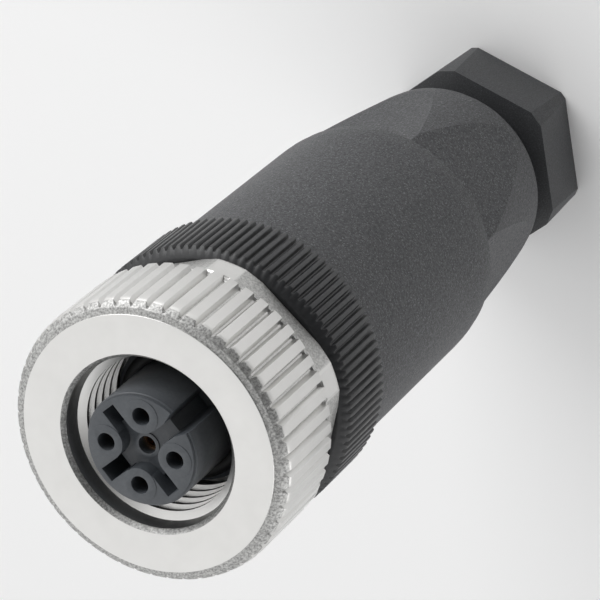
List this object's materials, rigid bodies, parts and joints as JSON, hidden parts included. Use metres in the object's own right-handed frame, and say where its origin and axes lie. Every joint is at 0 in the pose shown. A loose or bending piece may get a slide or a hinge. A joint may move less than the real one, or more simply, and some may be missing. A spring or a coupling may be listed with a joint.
{
  "type": "m12 connector",
  "caption": "Straight female circular connector with a knurled coupling nut, keyed contact insert, ribbed grip ring, tapered housing sleeve and cable gland.",
  "frame": {"origin": "on the connector's axis at the end face of the cable gland's pressure nut", "axes": "+Z along the axis from the cable end to the mating face, +X from the axis through the keyway"},
  "size_m": [0.02, 0.02, 0.0577],
  "materials": {
    "nickel": "matt nickel plate on the faces, bright on the knurl crests",
    "insert_plastic": "satin slate-grey moulded plastic",
    "contact_brass": "turned, thinly gilt",
    "steel": "zinc-plated",
    "seal_rubber": "matt",
    "ring_plastic": "satin black moulded plastic",
    "housing_plastic": "grained black moulded plastic",
    "cage_plastic": "plain grey moulded plastic",
    "gland_plastic": "finely grained black moulded plastic"
  },
  "bodies": {
    "carrier": {"contact_insert": "insert_plastic", "contact_1": "contact_brass", "contact_2": "contact_brass", "contact_3": "contact_brass", "contact_4": "contact_brass", "contact_5": "contact_brass", "terminal_block": "insert_plastic", "terminal_screws": "steel", "retaining_clip": "steel", "face_seal": "seal_rubber", "grip_ring": "ring_plastic", "sleeve_o_ring": "seal_rubber"},
    "coupling_nut": {"coupling_nut": "nickel"},
    "cable_seal": {"cable_seal": "seal_rubber"},
    "sleeve": {"housing_sleeve": "housing_plastic"},
    "clamp": {"clamping_cage": "cage_plastic", "thrust_washer": "steel"},
    "pressure_nut": {"pressure_nut": "gland_plastic"}
  },
  "joints": [
    {"name": "nut_turn", "type": "hinge", "parent": "carrier", "child": "coupling_nut", "pos_m": [0, 0, 0.0523], "axis": [0, 0, 1], "continuous": true},
    {"name": "sleeve_travel", "type": "slide", "parent": "carrier", "child": "cable_seal", "axis": [0, 0, -1], "range_m": [0, 0.00375]},
    {"name": "sleeve_turn", "type": "hinge", "parent": "cable_seal", "child": "sleeve", "pos_m": [0, 0, 0.04], "axis": [0, 0, -1], "range_deg": [0, 901]},
    {"name": "gland_travel", "type": "slide", "parent": "sleeve", "child": "clamp", "axis": [0, 0, 1], "range_m": [-0.00381, 0.0019]},
    {"name": "gland_turn", "type": "hinge", "parent": "clamp", "child": "pressure_nut", "pos_m": [0, 0, 0.0103], "axis": [0, 0, 1], "range_deg": [-1081, 541]}
  ],
  "couplings": [
    {"joint": "sleeve_turn", "follows": "sleeve_travel", "rad_per_m": 4188.8},
    {"joint": "gland_turn", "follows": "gland_travel", "rad_per_m": 4947.4}
  ]
}
